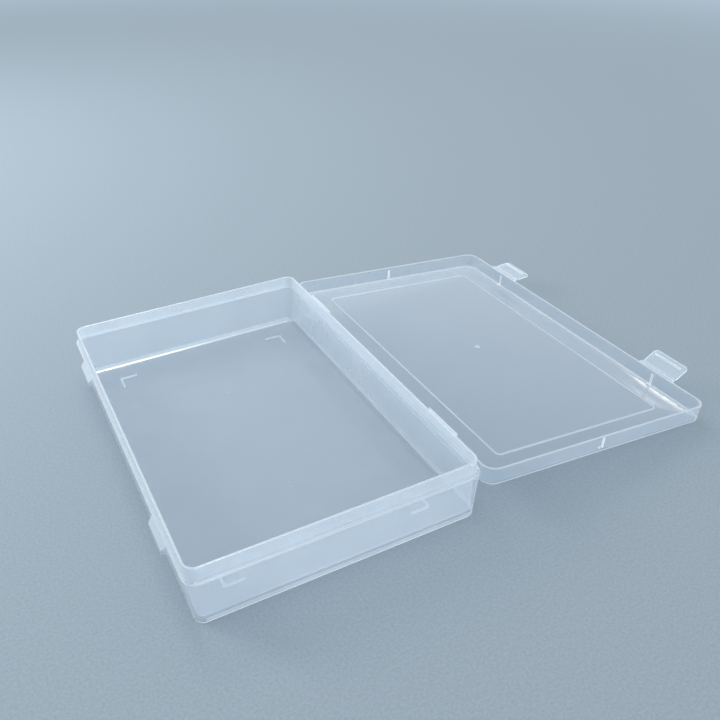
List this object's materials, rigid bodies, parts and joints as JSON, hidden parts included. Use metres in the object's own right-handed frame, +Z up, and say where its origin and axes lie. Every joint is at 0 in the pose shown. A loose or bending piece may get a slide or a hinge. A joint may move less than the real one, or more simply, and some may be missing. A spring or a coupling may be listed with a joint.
{
  "type": "flip-lid storage case",
  "caption": "Shallow moulded plastic storage case lying open: a drafted tray with an inset band, a skirted lid on strap hinges along one long side, and snap latch flaps on the other.",
  "frame": {"origin": "centre of the tray's flat underside", "axes": "+X runs across the case from the catches to the hinge and on over the opened lid, +Y runs along the hinge away from the camera, +Z is up"},
  "size_m": [0.3206, 0.235, 0.0351],
  "materials": {
    "body": "natural milky polypropylene as moulded, translucent, smooth with a soft gloss",
    "hinge_film": "the same polypropylene drawn thin at the folds, whitened by bending"
  },
  "bodies": {
    "tray": {"tray": "body", "hinge_strap_near": "hinge_film", "hinge_strap_far": "hinge_film"},
    "lid": {"lid": "body", "latch_film_near": "hinge_film", "latch_film_far": "hinge_film"},
    "latch_near": {"latch_near": "body"},
    "latch_far": {"latch_far": "body"}
  },
  "joints": [
    {"name": "lid_hinge", "type": "hinge", "parent": "tray", "child": "lid", "pos_m": [0.07645, 0, 0.0275], "axis": [0, -1, 0], "range_deg": [0, 184.8]},
    {"name": "latch_near_fold", "type": "hinge", "parent": "lid", "child": "latch_near", "pos_m": [0.23127, -0.077, 0.0139], "axis": [0, -1, 0], "range_deg": [-123, 57]},
    {"name": "latch_far_fold", "type": "hinge", "parent": "lid", "child": "latch_far", "pos_m": [0.23127, 0.077, 0.0139], "axis": [0, -1, 0], "range_deg": [-98, 82]}
  ]
}
